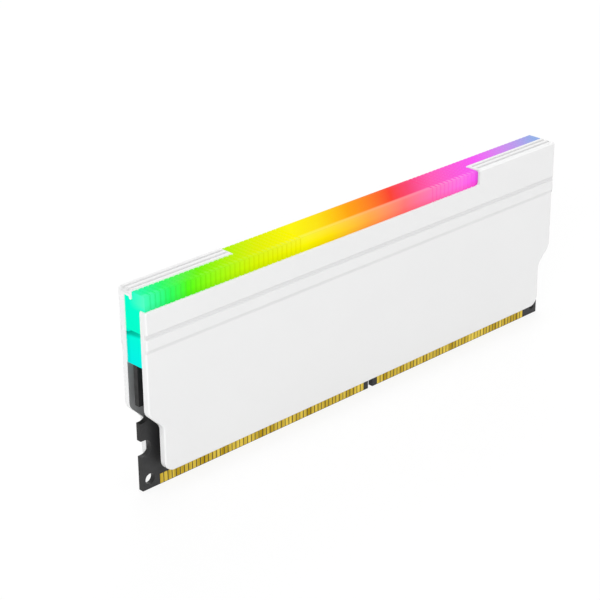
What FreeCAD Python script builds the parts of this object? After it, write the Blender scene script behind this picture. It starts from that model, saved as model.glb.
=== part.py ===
import FreeCAD, Part
import math
import os

# Heat spreader for one memory module, with its light bar and memory board.
# Millimetres. +X runs along the module, the front plate faces -Y, +Z is up.
# Z = 0 is the board's contact edge. One plate is the other turned half a turn about Z.

os.makedirs("parts", exist_ok=True)
V = FreeCAD.Vector

# memory board
board_len = 133.35
board_h = 31.25
board_t = 1.3
notch_low_r = 1.95
notch_low_z = 10.3
notch_high_r = 2.1
notch_high_z = 18.6
notch_depth = 2.8
hole_r = 1.3
hole_from_end = 2.105
hole_z = 2.35
key_x0 = 3.73
key_w = 1.5
key_h = 4.0
corner_cut = 1.2
half_len = board_len / 2
half_t = board_t / 2
hole_x = half_len - hole_from_end

# contacts
pad_pitch = 1.188
pad_w = 0.95
pad_z0 = 0.12
pad_z1 = 2.5
pad_t = 0.04
pad_end_margin = 4.875
pad_key_margin = 1.6

# side plates
plate_overhang = 0.125
plate_gap = 1.8
plate_t = 1.65
band_step = 0.3
plate_z0 = 4.35
hook_rise = 3.75
foot_inset = 4.0
taper_h = 11.2
taper_r = 2.5
foot_r = 2.6
edge_r = 0.35
bend_r = 0.45
inner_corner_r = 0.8
top_corner_r = 0.7
plate_half = half_len + plate_overhang
foot_half = plate_half - foot_inset
inner_y = half_t + plate_gap
field_y = inner_y + plate_t
band_y = field_y + band_step
taper_z0 = plate_z0 + taper_h
taper_z1 = taper_z0 + foot_inset

# heights stack up from the board: guide, bar, lowered plate edge, hook
guide_lap = 0.8
guide_h = 7.95
bar_body_h = 5.6
guide_z0 = board_h - guide_lap
bar_z0 = guide_z0 + guide_h
plate_low_z1 = bar_z0 + bar_body_h
plate_z1 = plate_low_z1 + hook_rise

# lengthwise lines on the plate face
line_below_edge = 5.9
line_w = 1.2
line_floor_w = 0.7
step_below_edge = 9.7
step_h = 0.75
line_z = plate_low_z1 - line_below_edge
step_z0 = plate_low_z1 - step_below_edge
step_z1 = step_z0 + step_h

# hook over the bar
hook_len = 28.85
hook_t = 1.5
lip_t = 0.9
lip_drop = 0.6
lip_taper = 0.15
lip_r = 0.2
hook_edge_r = 0.3
hook_groove_first = 1.3
hook_groove_pitch = 1.6
hook_groove_w = 0.85
hook_groove_floor_w = 0.55
hook_groove_d = 0.4
hook_groove_end = 0.8
hook_x0 = plate_half - hook_len

# diffuser
gap = 0.1
bar_inset = 0.1
bar_below_hook = 0.2
wing_inset = 0.25
wing_r = 0.45
wing_steps = 3
smooth_half = 21.45
rib_pitch = 1.4
rib_depth = 0.25
rib_share = 0.62
under_hook_gap = 0.05
bar_half = plate_half - bar_inset
bar_z1 = plate_z1 - bar_below_hook
wing_y = band_y - wing_inset
body_y = inner_y - gap
wing_x1 = hook_x0 - gap
under_hook_z = plate_z1 - hook_t - under_hook_gap

# light guide
guide_slot_gap = 0.05
slot_end_gap = 0.1
tape_t = 0.5
tape_inset = 6.5
tape_edge = 1.4
tape_gap = 0.2
end_step_x = 0.8
end_step_z = 0.8
end_step_y = 1.6
tape_half = bar_half - tape_inset
tape_y0 = inner_y - tape_t
tape_z0 = guide_z0 + tape_edge
tape_z1 = bar_z0 - tape_edge

# memory chips and pads
chip_first = 12.5
chip_end = 10.675
chip_count = 4
chip_w = 7.8
chip_h = 11.0
chip_t = 1.0
chip_below_top = 8.15
thermal_edge = 0.5
thermal_end = 1.7
chip_z0 = board_h - chip_below_top - chip_h
chip_face_y = half_t + chip_t
thermal_half = foot_half - thermal_end
thermal_z0 = chip_z0 - thermal_edge
thermal_z1 = chip_z0 + chip_h + thermal_edge

# small parts on the board
led_count = 5
led_end = 14.675
led_w = 3.2
led_h = 1.4
led_t = 1.1
led_below_guide = 0.15
array_count = 8
array_first = 14.0
array_end = 10.675
array_w = 2.0
array_h = 1.0
array_t = 0.45
cap_w = 1.0
cap_h = 0.6
cap_t = 0.5
cap_above_chip = 2.1
cap_offset = 2.0
controller_w = 5.0
controller_t = 0.85
identity_w = 3.0
identity_h = 2.0
identity_t = 0.75
led_z0 = guide_z0 - led_below_guide - led_h
array_z0 = (pad_z1 + chip_z0 - array_h) / 2
cap_z0 = chip_z0 + chip_h + cap_above_chip
chip_mid_z = chip_z0 + chip_h / 2

# cutting tools reach this far past what they cut
past = 1.0


def box(x0, x1, y0, y1, z0, z1):
    return Part.makeBox(x1 - x0, y1 - y0, z1 - z0, V(x0, y0, z0))


def rounded_wire(points):
    # points: (vector, corner radius), in order round the outline
    edges = []
    ends = []
    n = len(points)
    for i in range(n):
        p, r = points[i]
        a = points[i - 1][0] - p
        b = points[(i + 1) % n][0] - p
        a.normalize()
        b.normalize()
        if r <= 0:
            ends.append((p, None, p))
            continue
        half = math.acos(max(-1.0, min(1.0, a.dot(b)))) / 2
        cut = r / math.tan(half)
        mid_dir = a + b
        mid_dir.normalize()
        centre = p + mid_dir * (r / math.sin(half))
        mid = centre - mid_dir * r
        ends.append((p + a * cut, mid, p + b * cut))
    for i in range(n):
        start, mid, end = ends[i]
        if mid is not None:
            edges.append(Part.Arc(start, mid, end).toShape())
        nxt = ends[(i + 1) % n][0]
        if end.distanceToPoint(nxt) > 1e-6:
            edges.append(Part.makeLine(end, nxt))
    return Part.Wire(edges)


def prism_xz(points, y0, y1):
    # outline in the XZ plane, (x, z, radius), carried from y0 to y1
    wire = rounded_wire([(V(x, y0, z), r) for x, z, r in points])
    return Part.Face(wire).extrude(V(0, y1 - y0, 0))


def prism_yz(points, x0, x1):
    # section in the YZ plane, (y, z, radius), carried from x0 to x1
    wire = rounded_wire([(V(x0, y, z), r) for y, z, r in points])
    return Part.Face(wire).extrude(V(x1 - x0, 0, 0))


def half_turn(shape):
    other = shape.copy()
    other.rotate(V(0, 0, 0), V(0, 0, 1), 180)
    return other


def mirror_y(shape):
    return shape.mirror(V(0, 0, 0), V(0, 1, 0))


def edges_in_plane_y(shape, y):
    found = []
    for edge in shape.Edges:
        box_ = edge.BoundBox
        if abs(box_.YMin - y) < 1e-4 and abs(box_.YMax - y) < 1e-4:
            found.append(edge)
    return found


def save(name, shape):
    shape.exportStep("parts/" + name + ".step")


# side plate, front: lower field
outline = [
    (-plate_half, plate_low_z1, top_corner_r),
    (hook_x0, plate_low_z1, inner_corner_r),
    (hook_x0, plate_z1, top_corner_r),
    (plate_half, plate_z1, top_corner_r),
    (plate_half, taper_z1, taper_r),
    (foot_half, taper_z0, taper_r),
    (foot_half, plate_z0, foot_r),
    (-foot_half, plate_z0, foot_r),
    (-foot_half, taper_z0, taper_r),
    (-plate_half, taper_z1, taper_r),
]
field = prism_xz(outline, -field_y, -inner_y)
field = field.makeFillet(edge_r, edges_in_plane_y(field, -field_y))

# side plate, front: thicker band along the top, with its sloped lower edge
band_outline = [
    (-plate_half, plate_low_z1, top_corner_r),
    (hook_x0, plate_low_z1, inner_corner_r),
    (hook_x0, plate_z1, top_corner_r),
    (plate_half, plate_z1, top_corner_r),
    (plate_half, step_z0, 0),
    (-plate_half, step_z0, 0),
]
band = prism_xz(band_outline, -band_y, -inner_y)
band_edges = []
for edge in edges_in_plane_y(band, -band_y):
    if edge.BoundBox.ZMax > step_z0 + 0.01:
        band_edges.append(edge)
band = band.makeFillet(edge_r, band_edges)
slope_z = step_z1 + past * step_h / band_step
slope = prism_yz([
    (-band_y - past, step_z0 - past, 0),
    (-field_y, step_z0 - past, 0),
    (-field_y, step_z0, 0),
    (-band_y - past, slope_z, 0),
], -plate_half - past, plate_half + past)
band = band.cut(slope)
plate = field.fuse(band)

# line along the band
line = prism_yz([
    (-band_y - past, line_z - line_w / 2, 0),
    (-band_y, line_z - line_w / 2, 0),
    (-field_y, line_z - line_floor_w / 2, 0),
    (-field_y, line_z + line_floor_w / 2, 0),
    (-band_y, line_z + line_w / 2, 0),
    (-band_y - past, line_z + line_w / 2, 0),
], -plate_half - past, plate_half + past)
plate = plate.cut(line)

# hook that reaches over half of the bar, with a drop-down lip
hook_z0 = plate_z1 - hook_t
lip_z0 = hook_z0 - lip_drop
hook_root_y = inner_y + edge_r
hook_side = prism_xz([
    (hook_x0, lip_z0 - past, 0),
    (hook_x0, plate_z1, top_corner_r),
    (plate_half, plate_z1, top_corner_r),
    (plate_half, lip_z0 - past, 0),
], -hook_root_y, 0)
hook_section = prism_yz([
    (-hook_root_y, hook_z0, 0),
    (-lip_t, hook_z0, 0),
    (-lip_t + lip_taper, lip_z0, lip_r),
    (-lip_taper, lip_z0, lip_r),
    (0, hook_z0 + lip_r, 0),
    (0, plate_z1, hook_edge_r),
    (-hook_root_y, plate_z1, 0),
], hook_x0 - past, plate_half + past)
plate = plate.fuse(hook_side.common(hook_section))
bend_y = -band_y + bend_r
bend_z = plate_z1 - bend_r
bend = box(hook_x0 - past, plate_half + past, -band_y - past, bend_y, bend_z, plate_z1 + past)
bend_round = Part.makeCylinder(bend_r, plate_half - hook_x0 + 4 * past,
                               V(hook_x0 - 2 * past, bend_y, bend_z), V(1, 0, 0))
plate = plate.cut(bend.cut(bend_round))
for y in (hook_groove_first, hook_groove_first + hook_groove_pitch):
    w = hook_groove_w / 2
    f = hook_groove_floor_w / 2
    groove = prism_yz([
        (-y - w, plate_z1 + past, 0),
        (-y - w, plate_z1, 0),
        (-y - f, plate_z1 - hook_groove_d, 0),
        (-y + f, plate_z1 - hook_groove_d, 0),
        (-y + w, plate_z1, 0),
        (-y + w, plate_z1 + past, 0),
    ], hook_x0 + hook_groove_end, plate_half + past)
    plate = plate.cut(groove)
plate_front = plate.removeSplitter()
save("plate_front", plate_front)
save("plate_rear", half_turn(plate_front))


def cap_section(inset):
    # section of the diffuser's cap with its wings, rounded at both upper edges
    y = wing_y - inset
    z = bar_z1 - inset
    r = wing_r - inset
    points = [(-y, plate_low_z1, 0), (y, plate_low_z1, 0)]
    for side in (1, -1):
        for i in range(wing_steps + 1):
            step = i if side > 0 else wing_steps - i
            turn = math.pi / 2 * step / wing_steps
            points.append((side * (y - r + r * math.cos(turn)), z - r + r * math.sin(turn), 0))
    return points


# diffuser: fluted cap, smooth in the middle
cap = prism_yz(cap_section(rib_depth), -bar_half, bar_half)
ribs = [prism_yz(cap_section(0), -smooth_half, smooth_half)]
rib_w = rib_pitch * rib_share
rib_count = int((bar_half - smooth_half) / rib_pitch)
for i in range(1, rib_count + 1):
    x1 = smooth_half + i * rib_pitch
    x0 = x1 - rib_w
    if i == rib_count:
        x1 = bar_half
    ribs.append(prism_yz(cap_section(0), x0, x1))
    ribs.append(prism_yz(cap_section(0), -x1, -x0))
cap = cap.fuse(ribs)
body = box(-bar_half, bar_half, -body_y, body_y, bar_z0, bar_z1 - wing_r)
diffuser = cap.fuse(body)

# room for the hooks, their lips and the full-height plate ends
room_x0 = -bar_half - past
room_y1 = wing_y + past
room_z1 = bar_z1 + past
hook_room = box(room_x0, -wing_x1, -gap, room_y1, under_hook_z, room_z1)
lip_room = box(room_x0, -wing_x1, -gap, lip_t + gap, lip_z0 - gap, room_z1)
end_room = box(room_x0, -wing_x1, body_y, room_y1, plate_low_z1 - past, room_z1)
for room in (hook_room, lip_room, end_room):
    diffuser = diffuser.cut(room)
    diffuser = diffuser.cut(half_turn(room))
corner_x = -wing_x1 + inner_corner_r
corner_z = plate_low_z1 + inner_corner_r
corner = box(-wing_x1 - past, corner_x, body_y, room_y1, plate_low_z1 - past, corner_z)
corner = corner.cut(Part.makeCylinder(inner_corner_r, room_y1, V(corner_x, 0, corner_z), V(0, 1, 0)))
diffuser = diffuser.cut(corner)
diffuser = diffuser.cut(half_turn(corner))
diffuser = diffuser.removeSplitter()
save("diffuser", diffuser)

# light guide: straddles the board's upper edge
guide = box(-bar_half, bar_half, -body_y, body_y, guide_z0, bar_z0)
slot_y = half_t + guide_slot_gap
slot_half = half_len - corner_cut + slot_end_gap
guide = guide.cut(box(-slot_half, slot_half, -slot_y, slot_y, guide_z0 - past, board_h))
recess = box(-tape_half - tape_gap, tape_half + tape_gap, tape_y0, inner_y + past,
             tape_z0 - tape_gap, tape_z1 + tape_gap)
guide = guide.cut(recess)
guide = guide.cut(half_turn(recess))
end_step = box(-bar_half - past, -bar_half + end_step_x, -inner_y - past, end_step_y,
               bar_z0 - end_step_z, bar_z0 + past)
guide = guide.cut(end_step)
guide = guide.cut(half_turn(end_step))
save("light_guide", guide)

# adhesive strips between the guide and the plates
tape = box(-tape_half, tape_half, -inner_y, -tape_y0, tape_z0, tape_z1)
save("tape_front", tape)
save("tape_rear", half_turn(tape))


def through_hole(r, x, z):
    return Part.makeCylinder(r, board_t + 2 * past, V(x, -half_t - past, z), V(0, 1, 0))


# memory board
board = box(-half_len, half_len, -half_t, half_t, 0, board_h)
for x0 in (-half_len - past, half_len - corner_cut):
    x1 = x0 + corner_cut + past
    board = board.cut(box(x0, x1, -half_t - past, half_t + past, guide_z0, board_h + past))
for r, z in ((notch_low_r, notch_low_z), (notch_high_r, notch_high_z)):
    x_round = half_len - notch_depth + r
    notch = box(x_round, half_len + past, -half_t - past, half_t + past, z - r, z + r)
    notch = notch.fuse(through_hole(r, x_round, z))
    board = board.cut(notch)
    board = board.cut(half_turn(notch))
for x in (-hole_x, hole_x):
    board = board.cut(through_hole(hole_r, x, hole_z))
key_r = key_w / 2
key = box(key_x0, key_x0 + key_w, -half_t - past, half_t + past, -past, key_h - key_r)
board = board.cut(key.fuse(through_hole(key_r, key_x0 + key_r, key_h - key_r)))
save("board", board)


def save_both_faces(name, items):
    save(name + "_front", Part.makeCompound(items))
    save(name + "_rear", Part.makeCompound([mirror_y(item) for item in items]))


def on_board(x, w, z0, h, t):
    # a block seated on the board's front face, centred on x
    return box(x - w / 2, x + w / 2, -half_t - t, -half_t, z0, z0 + h)


def both_ways(first, last, count):
    step = (last - first) / (count - 1)
    found = []
    for i in range(count):
        found.append(first + i * step)
        found.append(-first - i * step)
    return found


# contacts on both faces, each side of the key notch
pads = []
key_x1 = key_x0 + key_w
for start, stop in ((-half_len + pad_end_margin, key_x0 - pad_key_margin),
                    (key_x1 + pad_key_margin, half_len - pad_end_margin)):
    count = int((stop - start - pad_w) / pad_pitch) + 1
    for i in range(count):
        pads.append(on_board(start + pad_w / 2 + i * pad_pitch, pad_w, pad_z0, pad_z1 - pad_z0, pad_t))
save_both_faces("contacts", pads)

# memory chips on both faces, with thermal pads between them and the plates
chip_x = both_ways(chip_first, half_len - chip_end, chip_count)
save_both_faces("memory_chips", [on_board(x, chip_w, chip_z0, chip_h, chip_t) for x in chip_x])
thermal = box(-thermal_half, thermal_half, -inner_y, -chip_face_y, thermal_z0, thermal_z1)
save("thermal_pad_front", thermal)
save("thermal_pad_rear", mirror_y(thermal))

# light emitters under the light guide
led_last = half_len - led_end
leds = []
for i in range(led_count):
    x = -led_last + i * 2 * led_last / (led_count - 1)
    leds.append(on_board(x, led_w, led_z0, led_h, led_t))
save_both_faces("leds", leds)

# light controller in front, module identity chip behind
controller = on_board(0, controller_w, chip_mid_z - controller_w / 2, controller_w, controller_t)
save("light_controller", controller)
identity = on_board(0, identity_w, chip_mid_z - identity_h / 2, identity_h, identity_t)
save("identity_chip", mirror_y(identity))

# resistor arrays above the contacts, capacitors above the chips
array_x = both_ways(array_first, half_len - array_end, array_count)
save_both_faces("resistor_arrays", [on_board(x, array_w, array_z0, array_h, array_t) for x in array_x])
caps = []
for x in chip_x:
    for side in (-1, 1):
        caps.append(on_board(x + side * cap_offset, cap_w, cap_z0, cap_h, cap_t))
save_both_faces("capacitors", caps)
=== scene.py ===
import bpy
from mathutils import Matrix, Vector


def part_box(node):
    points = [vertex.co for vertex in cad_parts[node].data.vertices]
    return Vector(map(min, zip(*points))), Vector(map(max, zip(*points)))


# Looks for the memory module: white coated plates, lit fluted bar, black board, gold contacts.
# Metres, same frame as the solids. A node's Object coordinates are its place in the frame.

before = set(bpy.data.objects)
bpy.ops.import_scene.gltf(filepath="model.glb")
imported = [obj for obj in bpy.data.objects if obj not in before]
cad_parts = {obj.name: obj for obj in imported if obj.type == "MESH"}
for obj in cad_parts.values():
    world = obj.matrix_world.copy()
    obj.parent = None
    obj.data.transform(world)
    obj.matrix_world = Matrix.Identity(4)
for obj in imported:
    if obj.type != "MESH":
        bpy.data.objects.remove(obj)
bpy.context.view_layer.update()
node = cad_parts

# Places on the part that the finishes follow. Heights are Z, widths are distances from Y = 0.
hook_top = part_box("plate_front")[1].z
bar_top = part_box("diffuser")[1].z
bar_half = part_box("diffuser")[1].x
low_edge = hook_top - 0.00375    # the plates' lowered edge, where the bar's wings lie
line_z = low_edge - 0.0059       # line along the plates' raised band
slope_z = low_edge - 0.00932     # slope below the raised band
hook_edge = 0.0380               # X of a hook's upright edge, where a wing ends
gap_shade_top = 0.0300              # the painted gap shade fades out from here, at the light guide's underside
inner_face = 0.00248             # just past a plate's inner face
outer_side = 0.0036              # a plate's outer side lies further out than this
wing_round = 0.0037              # a wing's rounded edge begins here
guide_bottom = 0.0305            # the light guide's lower and upper ends
guide_top = 0.0384

WHITE = (1, 1, 1, 1)
BLACK = (0, 0, 0, 1)


def lin(r, g, b):
    # a colour as seen on screen, 0 to 255, as scene-linear values
    out = []
    for c in (r, g, b):
        c = c / 255
        out.append(c / 12.92 if c <= 0.04045 else ((c + 0.055) / 1.055) ** 2.4)
    return (out[0], out[1], out[2], 1.0)


# Camera, fitted to the photograph
cam_data = bpy.data.cameras.new("camera")
cam_data.sensor_width = 36.0
cam_data.lens = 115.645
cam_data.clip_start = 0.01
cam_data.clip_end = 50.0
cam = bpy.data.objects.new("camera", cam_data)
right = Vector((0.7180867, -0.6958939, -0.0091156))
down = Vector((-0.2914703, -0.2888200, -0.9119364))
ahead = Vector((0.6319783, 0.6575064, -0.4102302))
stands_at = Vector((-0.2954444, -0.2885677, 0.2101063))
turn = Matrix((right, -down, -ahead)).transposed()
cam.matrix_world = Matrix.Translation(stands_at) @ turn.to_4x4()
bpy.context.scene.collection.objects.link(cam)
bpy.context.scene.camera = cam


class Nodes:
    """Short calls that make and join the nodes of one material."""

    def __init__(self, name):
        self.mat = bpy.data.materials.new(name)
        self.mat.use_nodes = True
        self.tree = self.mat.node_tree
        self.tree.nodes.clear()
        self.out = self.tree.nodes.new("ShaderNodeOutputMaterial")
        self.shader = self.tree.nodes.new("ShaderNodeBsdfPrincipled")
        self.join(self.shader.outputs[0], self.out.inputs["Surface"])
        self.place = self.tree.nodes.new("ShaderNodeTexCoord").outputs["Object"]

    def join(self, a, b):
        self.tree.links.new(a, b)

    def put(self, socket, value):
        if isinstance(value, bpy.types.NodeSocket):
            self.join(value, socket)
        else:
            socket.default_value = value

    def set(self, **values):
        for key, value in values.items():
            self.put(self.shader.inputs[key.replace("_", " ")], value)

    def math(self, op, a, b=0.0, clamp=False):
        n = self.tree.nodes.new("ShaderNodeMath")
        n.operation = op
        n.use_clamp = clamp
        self.put(n.inputs[0], a)
        self.put(n.inputs[1], b)
        return n.outputs[0]

    def times(self, first, *others):
        for other in others:
            first = self.math("MULTIPLY", first, other)
        return first

    def plus(self, a, b, clamp=False):
        return self.math("ADD", a, b, clamp)

    def minus(self, a, b, clamp=False):
        return self.math("SUBTRACT", a, b, clamp)

    def absolute(self, a):
        return self.math("ABSOLUTE", a)

    def range(self, value, a, b, to_a=0.0, to_b=1.0, smooth=False):
        n = self.tree.nodes.new("ShaderNodeMapRange")
        n.clamp = True
        n.interpolation_type = "SMOOTHSTEP" if smooth else "LINEAR"
        for i, v in enumerate((value, a, b, to_a, to_b)):
            self.put(n.inputs[i], v)
        return n.outputs[0]

    def above(self, value, at, fade=0.0002, smooth=False):
        # 0 up to at, 1 from a fade further on
        return self.range(value, at, at + fade, 0.0, 1.0, smooth)

    def below(self, value, at, fade=0.0002, smooth=False):
        # 1 up to at, 0 from a fade further on
        return self.range(value, at, at + fade, 1.0, 0.0, smooth)

    def mix(self, factor, a, b, blend="MIX"):
        n = self.tree.nodes.new("ShaderNodeMix")
        n.data_type = "RGBA"
        n.blend_type = blend
        self.put(n.inputs[0], factor)
        self.put(n.inputs[6], a)
        self.put(n.inputs[7], b)
        return n.outputs[2]

    def noise(self, scale, detail=2.0, rough=0.5, vector=None):
        n = self.tree.nodes.new("ShaderNodeTexNoise")
        self.join(vector or self.place, n.inputs["Vector"])
        n.inputs["Scale"].default_value = scale
        n.inputs["Detail"].default_value = detail
        n.inputs["Roughness"].default_value = rough
        return n.outputs["Fac"]

    def grains(self, scale, vector=None):
        n = self.tree.nodes.new("ShaderNodeTexVoronoi")
        self.join(vector or self.place, n.inputs["Vector"])
        n.inputs["Scale"].default_value = scale
        return n.outputs["Distance"]

    def uneven(self, texture, low, high):
        # a value that follows a texture, for roughness
        return self.range(texture, 0.3, 0.7, low, high)

    def stretch(self, x, y, z):
        n = self.tree.nodes.new("ShaderNodeMapping")
        self.join(self.place, n.inputs["Vector"])
        n.inputs["Scale"].default_value = (x, y, z)
        return n.outputs[0]

    def axes(self):
        n = self.tree.nodes.new("ShaderNodeSeparateXYZ")
        self.join(self.place, n.inputs[0])
        return n.outputs[0], n.outputs[1], n.outputs[2]

    def normal(self):
        n = self.tree.nodes.new("ShaderNodeNewGeometry")
        s = self.tree.nodes.new("ShaderNodeSeparateXYZ")
        self.join(n.outputs["Normal"], s.inputs[0])
        return s.outputs[0], s.outputs[1], s.outputs[2]

    def ramp(self, value, stops):
        n = self.tree.nodes.new("ShaderNodeValToRGB")
        r = n.color_ramp
        r.interpolation = "LINEAR"
        while len(r.elements) > 1:
            r.elements.remove(r.elements[-1])
        r.elements[0].position, r.elements[0].color = stops[0]
        for at, colour in stops[1:]:
            e = r.elements.new(at)
            e.color = colour
        self.put(n.inputs[0], value)
        return n.outputs[0]

    def bump(self, height, distance, strength=1.0):
        n = self.tree.nodes.new("ShaderNodeBump")
        n.inputs["Strength"].default_value = strength
        n.inputs["Distance"].default_value = distance
        self.join(height, n.inputs["Height"])
        self.join(n.outputs[0], self.shader.inputs["Normal"])

    def use(self, *names):
        for name in names:
            data = node[name].data
            data.materials.clear()
            data.materials.append(self.mat)


# White powder coat
coat = Nodes("white_powder_coat")
coat_cloud = coat.noise(60.0, 3.0)
coat_fine = coat.noise(2600.0, 3.0, 0.6)
coat_peel = coat.noise(900.0, 1.0)
cx, cy, cz = coat.axes()
cny = coat.normal()[1]
side = coat.absolute(cx)
reach = coat.absolute(cy)
# painted shade on the inner faces beside the board, in the gap between the plates; beside the lit guide
# there is none
gap_shade = coat.times(
    coat.below(reach, inner_face, 0.00008),
    coat.above(coat.absolute(cny), 0.7, 0.2),
    coat.below(cz, gap_shade_top, 0.0008),
)
# painted shade in the line along the band, on the slope below it and in the hooks' grooves
on_face = coat.above(reach, outer_side, 0.0001)
in_line = coat.times(coat.below(coat.absolute(coat.minus(cz, line_z)), 0.0004, 0.0003), on_face)
on_slope = coat.times(coat.below(coat.absolute(coat.minus(cz, slope_z)), 0.0003, 0.0003), on_face)
in_groove = coat.times(
    coat.below(cz, hook_top - 0.00025, 0.00022),
    coat.above(cz, hook_top - 0.00115),
    coat.below(reach, 0.0034),
    coat.above(reach, 0.0005),
)
groove_shade = coat.plus(coat.times(in_line, 0.50), coat.times(on_slope, 0.30))
groove_shade = coat.plus(groove_shade, coat.times(in_groove, 0.45), clamp=True)
# painted highlight: a paler coat over the bend along the hook's top
bend_highlight = coat.times(coat.above(reach, 0.00385, 0.00015), coat.above(cz, hook_top - 0.00055))
# shade in the seam where a hook's upright edge meets the bar's wing
in_seam = coat.times(
    coat.below(side, hook_edge, 0.0006, smooth=True),
    coat.above(side, hook_edge - 0.0010, 0.0003),
    coat.above(cz, low_edge),
    coat.above(reach, outer_side - 0.0002),
)
outer = coat.mix(coat_cloud, (0.822, 0.823, 0.825, 1), (0.846, 0.846, 0.846, 1))
# painted shade in the line, on the slope and in the grooves
outer = coat.mix(groove_shade, outer, (0.64, 0.64, 0.645, 1))
# painted highlight over the bend
outer = coat.mix(bend_highlight, outer, (0.94, 0.94, 0.94, 1))
outer = coat.mix(coat.times(in_seam, 0.5), outer, (0.4, 0.4, 0.4, 1))
coat.set(
    # the grey is the painted shade on the plates' inner faces
    Base_Color=coat.mix(gap_shade, outer, lin(140, 141, 142)),
    Roughness=coat.uneven(coat_fine, 0.40, 0.54),
    Specular_IOR_Level=0.4,
)
coat.bump(coat.plus(coat.times(coat_fine, 0.5), coat_peel), 0.000012, 0.6)
coat.use("plate_front", "plate_rear")

# Lit bar, with two runs of colour along the length: one for its flat top, one for its wings.
# Each stop is a place along the length in millimetres and a colour as seen on screen.
top_hues = [
    (-63.0, (40, 247, 176)),
    (-56.0, (50, 248, 106)),
    (-46.0, (112, 242, 14)),
    (-29.0, (222, 238, 5)),
    (-18.0, (250, 244, 2)),
    (-10.0, (250, 224, 6)),
    (0.0, (252, 162, 5)),
    (14.0, (249, 66, 46)),
    (20.0, (247, 68, 113)),
    (28.0, (252, 94, 180)),
    (44.0, (245, 92, 243)),
    (66.7, (150, 176, 230)),
]
wing_hues = [
    (-66.7, (66, 253, 184)),
    (-60.0, (42, 252, 98)),
    (-55.0, (80, 250, 22)),
    (-35.0, (214, 242, 3)),
    (-20.0, (248, 242, 3)),
    (-12.0, (252, 222, 8)),
    (0.0, (254, 168, 64)),
    (12.0, (253, 116, 116)),
    (32.0, (253, 112, 226)),
    (37.0, (246, 82, 235)),
    (66.7, (150, 172, 230)),
]


def run_of_colour(m, x, hues):
    along = m.math("DIVIDE", m.plus(x, bar_half), 2 * bar_half)
    stops = [((at / 1000 + bar_half) / (2 * bar_half), lin(*c)) for at, c in hues]
    return m.ramp(along, stops)


def light_up(m, glow, strength, name):
    # translucent plastic lit from inside
    m.set(
        Base_Color=m.mix(0.8, glow, BLACK),
        Roughness=m.uneven(m.noise(1500.0), 0.42, 0.55),
        Emission_Color=glow,
        Emission_Strength=strength,
        Specular_IOR_Level=0.003,
    )
    m.bump(m.noise(3200.0), 0.000008, 0.5)
    m.use(name)


bar = Nodes("lit_diffuser")
bx, by, bz = bar.axes()
nx, ny, nz = bar.normal()
far = bar.absolute(by)
to_end = bar.absolute(bx)
# on the top the bands of colour slant: they are further on towards the front
slanted = bar.plus(bx, bar.times(bar.minus(0.003, by), 0.85))
top_hue = run_of_colour(bar, slanted, top_hues)
wing_hue = run_of_colour(bar, bx, wing_hues)
# wings: paler near their upper edge, deeper near the plates
paler = bar.times(
    bar.range(bz, low_edge + 0.0015, bar_top - 0.00015, 0.0, 0.035),
    bar.range(bx, -0.035, -0.015, 0.2, 1.0),
)
deeper = bar.mix(bar.range(bx, -0.020, 0.005), (0.82, 0.84, 0.80, 1), (0.97, 0.74, 0.70, 1))
wing_hue = bar.mix(paler, wing_hue, WHITE)
wing_hue = bar.mix(bar.below(bz, low_edge, 0.0016), wing_hue, deeper, "MULTIPLY")
# painted shade darkens the wing's closed end towards the seam; it is the end where x and y differ in
# sign
closed_end = bar.below(bar.times(bx, by), -0.00012, 0.00004)
seam_shade = bar.range(to_end, hook_edge - 0.0012, hook_edge - 0.0002, 0.0, 0.22, True)
wing_hue = bar.mix(bar.times(closed_end, seam_shade), wing_hue, BLACK)
# the rounded edge catches light, more so at the front
edge_hue = bar.mix(bar.range(bx, -0.035, 0.01, 0.01, 0.06), wing_hue, WHITE)
edge_on = bar.times(
    bar.above(far, 0.0026, 0.0008, smooth=True),
    bar.above(nz, 0.3, 0.3),
    bar.range(by, -0.001, 0.001, 1.0, 0.08),
)
glow = bar.mix(edge_on, top_hue, edge_hue)
wing_on = bar.times(bar.above(far, wing_round, 0.0003), bar.range(nz, 0.95, 0.6))
glow = bar.mix(wing_on, glow, wing_hue)
# ends: blue-green at the left and blue at the right, paler at the wing
end_on = bar.times(bar.above(bar.absolute(nx), 0.5, 0.3), bar.above(to_end, bar_half - 0.0003))
to_right = bar.range(bx, -0.01, 0.01)
end_low = bar.mix(to_right, lin(4, 249, 201), lin(140, 176, 232))
end_high = bar.mix(to_right, lin(86, 252, 192), lin(168, 188, 236))
end_wing = bar.times(bar.range(by, 0.001, -0.0042), bar.range(bz, low_edge - 0.0005, low_edge + 0.0012))
glow = bar.mix(end_on, glow, bar.mix(end_wing, end_low, end_high))
# painted shade in the flutes and on their walls, a little darker than the ribs between them, most at
# the left
side_flute = bar.times(
    bar.below(far, 0.00395, 0.0001),
    bar.above(bar.absolute(ny), 0.6, 0.2),
    bar.above(bz, low_edge),
    bar.above(far, 0.0035),
)
top_flute = bar.times(
    bar.below(bz, bar_top - 0.00015, 0.0001),
    bar.above(nz, 0.6, 0.2),
    bar.above(bz, bar_top - 0.00045, 0.0001),
)
flute_wall = bar.times(bar.above(bar.absolute(nx), 0.5, 0.3), bar.above(far, wing_round))
flute_wall = bar.minus(flute_wall, end_on, clamp=True)
flute_shade = bar.plus(bar.times(side_flute, 0.10), bar.times(top_flute, 0.04))
flute_shade = bar.plus(flute_shade, bar.times(flute_wall, 0.06))
flute_shade = bar.times(flute_shade, bar.range(bx, -0.02, 0.02, 1.0, 0.2))
cloudy = bar.range(bar.noise(220.0), 0.3, 0.7, 0.0, 0.012)
# painted flute shade, with a faint random cloudiness, as darkening
glow = bar.mix(bar.plus(flute_shade, cloudy), glow, BLACK)
light_up(bar, glow, 0.84, "diffuser")
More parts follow.
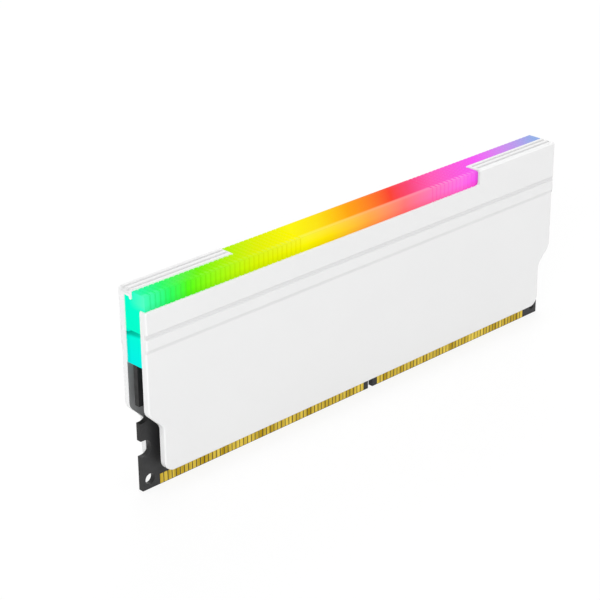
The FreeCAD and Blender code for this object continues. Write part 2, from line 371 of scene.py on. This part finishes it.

# Light guide: its lower part is bluer at the left, with a painted shadow line near its top and painted
# shade towards the rear, at both ends
guide = Nodes("lit_guide")
gx, gy, gz = guide.axes()
guide_hue = run_of_colour(guide, gx, top_hues)
guide_low = guide.range(gz, guide_bottom, guide_top, 1.0, 0.0)
guide_deep = guide.mix(guide_low, lin(3, 250, 216), lin(2, 240, 230))
# painted shadow line under the diffuser, and painted shade towards the rear plate
tilted_z = guide.plus(gz, guide.times(gy, 0.14))
in_shadow_line = guide.times(
    guide.above(tilted_z, guide_top - 0.0016, 0.0010, smooth=True),
    guide.below(tilted_z, guide_top - 0.0004, smooth=True),
)
guide_shade = guide.plus(guide.times(in_shadow_line, 0.46), guide.range(gy, 0.0010, 0.0023, 0.0, 0.16))
guide_shade = guide.times(guide_shade, guide.above(guide.absolute(gx), 0.060, 0.004))
left_end = guide.range(gx, -0.067, -0.050, 1.0, 0.0)
guide_glow = guide.mix(left_end, guide_hue, guide_deep)
guide_glow = guide.mix(guide_shade, guide_glow, BLACK)
light_up(guide, guide_glow, 0.8, "light_guide")

# Black board, with darker cut edges
mask = Nodes("black_solder_mask")
weave = mask.grains(900.0, mask.stretch(1.0, 1.0, 0.5))
mny = mask.normal()[1]
cut_face = mask.below(mask.absolute(mny), 0.3, 0.3)
mask_hue = mask.mix(mask.noise(90.0, 3.0), lin(33, 33, 34), lin(44, 44, 45))
mask.set(
    Base_Color=mask.mix(cut_face, mask_hue, lin(15, 15, 15)),
    Roughness=mask.uneven(mask.noise(700.0), 0.42, 0.58),
    Specular_IOR_Level=0.38,
)
mask.bump(weave, 0.00001, 0.4)
mask.use("board")

# Gold contacts, rubbed along their height
gold = Nodes("gold_plating")
rub = gold.noise(500.0, 3.0, 0.6, gold.stretch(1.0, 1.0, 0.08))
gold.set(
    Base_Color=gold.mix(gold.range(rub, 0.35, 0.65), lin(180, 148, 18), lin(240, 212, 88)),
    Metallic=1.0,
    Roughness=gold.uneven(rub, 0.26, 0.42),
)
gold.bump(rub, 0.000006, 0.4)
gold.use("contacts_front", "contacts_rear")

# Black moulded packages
mould = Nodes("moulded_epoxy")
mould.set(
    Base_Color=mould.mix(mould.grains(2200.0), lin(38, 38, 40), lin(50, 50, 52)),
    Roughness=mould.uneven(mould.noise(1800.0), 0.55, 0.7),
)
mould.bump(mould.noise(2600.0), 0.00001, 0.6)
mould.use("memory_chips_front", "memory_chips_rear", "light_controller", "identity_chip")

# Soft thermal pads
pad = Nodes("thermal_pad_grey")
pad.set(
    Base_Color=pad.mix(pad.noise(400.0, 4.0), lin(160, 164, 170), lin(184, 186, 190)),
    Roughness=pad.uneven(pad.noise(900.0), 0.75, 0.9),
)
pad.bump(pad.noise(1200.0, 3.0), 0.00003, 0.6)
pad.use("thermal_pad_front", "thermal_pad_rear")

# Foam tape
foam = Nodes("foam_tape")
foam.set(
    Base_Color=foam.mix(foam.grains(2500.0), lin(228, 228, 222), lin(240, 240, 236)),
    Roughness=foam.uneven(foam.noise(900.0), 0.8, 0.95),
)
foam.bump(foam.grains(2500.0), 0.00003, 0.6)
foam.use("tape_front", "tape_rear")


# Small packages on the board: light emitters, resistor arrays and capacitors
def small_package(name, dark, pale, smoothest, roughest, *names):
    m = Nodes(name)
    m.set(
        Base_Color=m.mix(m.noise(1500.0), dark, pale),
        Roughness=m.uneven(m.noise(1500.0), smoothest, roughest),
    )
    m.bump(m.noise(2600.0), 0.000008, 0.4)
    m.use(*names)


small_package(
    "emitter_package", lin(236, 236, 230), lin(250, 248, 236), 0.3, 0.45,
    "leds_front", "leds_rear",
)
small_package(
    "dark_ceramic", lin(44, 44, 48), lin(64, 64, 68), 0.35, 0.5,
    "resistor_arrays_front", "resistor_arrays_rear",
)
small_package(
    "tan_ceramic", lin(196, 172, 138), lin(216, 194, 160), 0.35, 0.5,
    "capacitors_front", "capacitors_rear",
)


def background_rays(tree):
    # 1 for camera, glossy and transmission rays, 0 for the rays that light the object
    paths = tree.nodes.new("ShaderNodeLightPath")
    seen = paths.outputs["Is Camera Ray"]
    for name in ("Is Glossy Ray", "Is Transmission Ray"):
        either = tree.nodes.new("ShaderNodeMath")
        either.operation = "MAXIMUM"
        tree.links.new(seen, either.inputs[0])
        tree.links.new(paths.outputs[name], either.inputs[1])
        seen = either.outputs[0]
    return seen


# Floor, white to the eye, which keeps a fifth of the object's shadow
FLOOR_HALF = 6.0
FLOOR_GAP = 0.00006  # just below the board's edge, so that the two don't share a plane
FLOOR_GLOW = 1.06
GLOW_SHARE = 0.8     # the rest is lit by the lamps and holds the shadow
floor_mesh = bpy.data.meshes.new("floor")
corners = [(-FLOOR_HALF, -FLOOR_HALF, 0), (FLOOR_HALF, -FLOOR_HALF, 0),
           (FLOOR_HALF, FLOOR_HALF, 0), (-FLOOR_HALF, FLOOR_HALF, 0)]
floor_mesh.from_pydata(corners, [], [(0, 1, 2, 3)])
floor = bpy.data.objects.new("floor", floor_mesh)
floor.location.z = -FLOOR_GAP
bpy.context.scene.collection.objects.link(floor)
ground = bpy.data.materials.new("pale_floor")
ground.use_nodes = True
tree = ground.node_tree
tree.nodes.clear()
out = tree.nodes.new("ShaderNodeOutputMaterial")
cloth = tree.nodes.new("ShaderNodeBsdfDiffuse")
cloth.inputs["Color"].default_value = (0.86, 0.86, 0.86, 1)
shine = tree.nodes.new("ShaderNodeEmission")
shine.inputs["Color"].default_value = WHITE
shine.inputs["Strength"].default_value = FLOOR_GLOW
share = tree.nodes.new("ShaderNodeMath")
share.operation = "MULTIPLY"
tree.links.new(background_rays(tree), share.inputs[0])
share.inputs[1].default_value = GLOW_SHARE
blend = tree.nodes.new("ShaderNodeMixShader")
tree.links.new(share.outputs[0], blend.inputs[0])
tree.links.new(cloth.outputs[0], blend.inputs[1])
tree.links.new(shine.outputs[0], blend.inputs[2])
tree.links.new(blend.outputs[0], out.inputs["Surface"])
floor_mesh.materials.append(ground)

# Light: an even white surround and three soft boxes
SURROUND_LIGHT = 0.64  # on the object
SURROUND_SEEN = 1.0    # behind the object and in its reflections
LIGHT_AIM = Vector((0, 0, 0.03))
world = bpy.data.worlds.new("surround")
world.use_nodes = True
bpy.context.scene.world = world
tree = world.node_tree
tree.nodes.clear()
out = tree.nodes.new("ShaderNodeOutputWorld")
sky = tree.nodes.new("ShaderNodeBackground")
sky.inputs["Color"].default_value = WHITE
level = tree.nodes.new("ShaderNodeMapRange")
level.inputs["To Min"].default_value = SURROUND_LIGHT
level.inputs["To Max"].default_value = SURROUND_SEEN
tree.links.new(background_rays(tree), level.inputs["Value"])
tree.links.new(level.outputs[0], sky.inputs["Strength"])
tree.links.new(sky.outputs[0], out.inputs["Surface"])


def soft_box(name, place, size, watts):
    data = bpy.data.lights.new(name, "AREA")
    data.shape = "RECTANGLE"
    data.size, data.size_y = size
    data.energy = watts
    lamp = bpy.data.objects.new(name, data)
    lamp.location = place
    lamp.rotation_euler = (LIGHT_AIM - Vector(place)).to_track_quat("-Z", "Y").to_euler()
    bpy.context.scene.collection.objects.link(lamp)


soft_box("key", (-1.2, -0.88, 0.62), (0.7, 0.7), 11.6)
soft_box("fill", (0.25, -1.6, 0.5), (1.2, 0.8), 2.0)
soft_box("back", (0.9, 0.95, 0.8), (0.9, 0.9), 6.0)

bpy.context.scene.view_settings.view_transform = "Standard"
